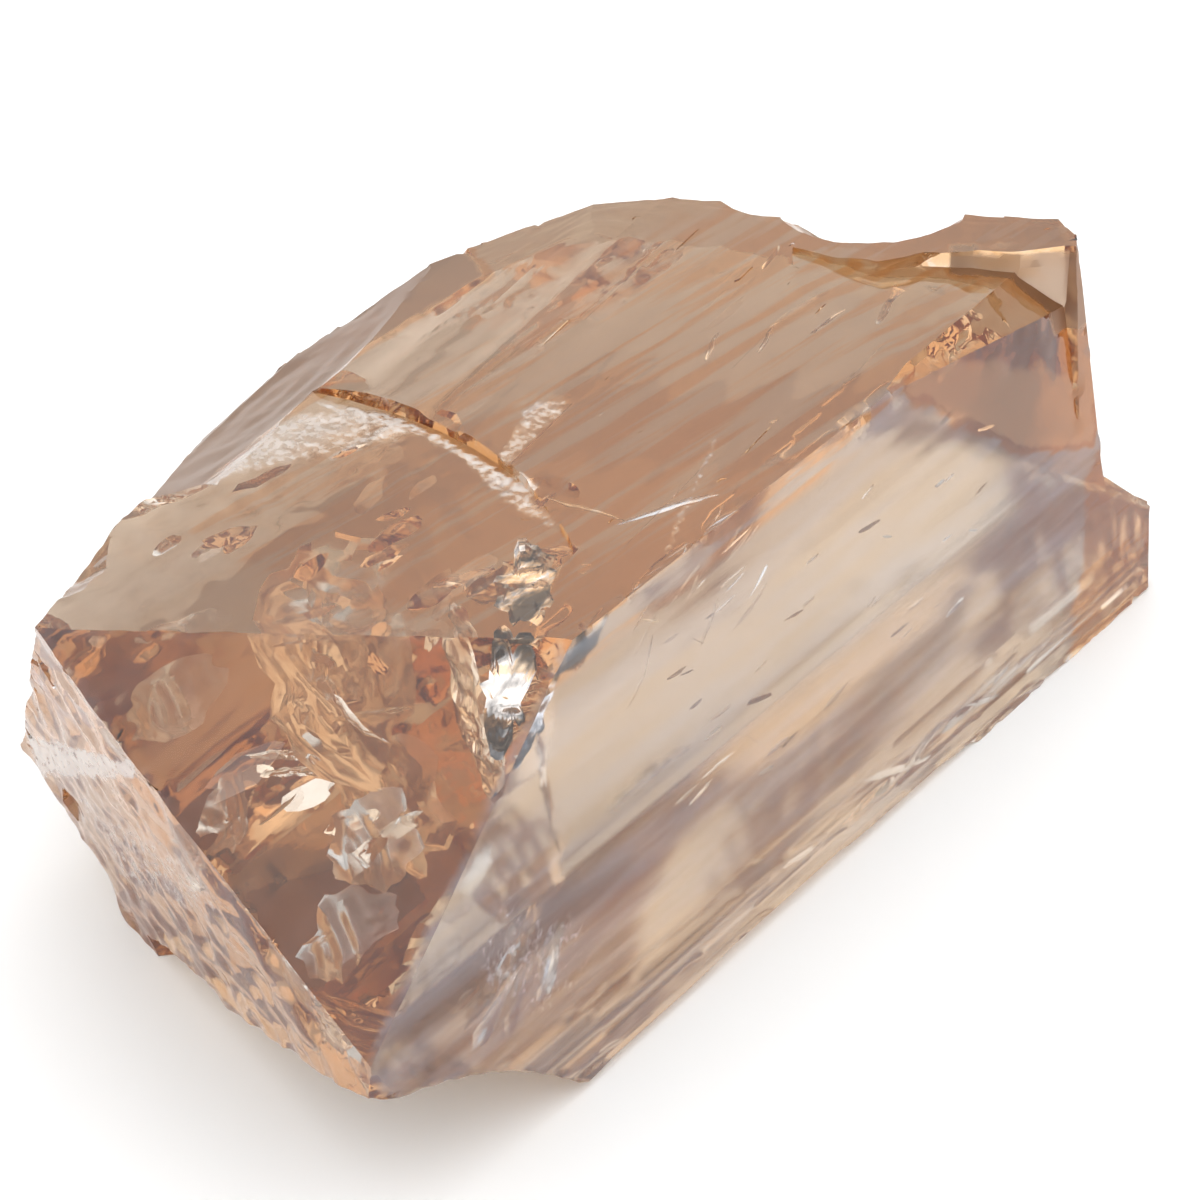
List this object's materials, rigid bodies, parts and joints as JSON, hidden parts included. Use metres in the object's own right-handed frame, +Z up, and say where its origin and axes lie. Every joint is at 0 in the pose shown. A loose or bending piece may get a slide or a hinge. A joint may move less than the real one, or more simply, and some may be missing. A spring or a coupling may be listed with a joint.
{
  "type": "topaz crystal",
  "caption": "Clear champagne-brown topaz crystal lying on a prism face: a striated broken prism with flat faces, a slanting front window, a sunken back shelf and shell-like fractures.",
  "frame": {"origin": "centre of the bounding box at its bottom, on the ground the crystal rests on", "axes": "+Y along the crystal's length (its c axis), from the overhanging front tip to the broken back end; +X to the right seen from the front; +Z up"},
  "size_m": [0.0202, 0.0414, 0.0152],
  "materials": {
    "champagne_topaz": "see-through champagne-brown topaz with a glassy lustre, satin striated prism faces and a few frosted bruises"
  },
  "bodies": {
    "root": {"topaz_crystal": "champagne_topaz"}
  },
  "joints": []
}
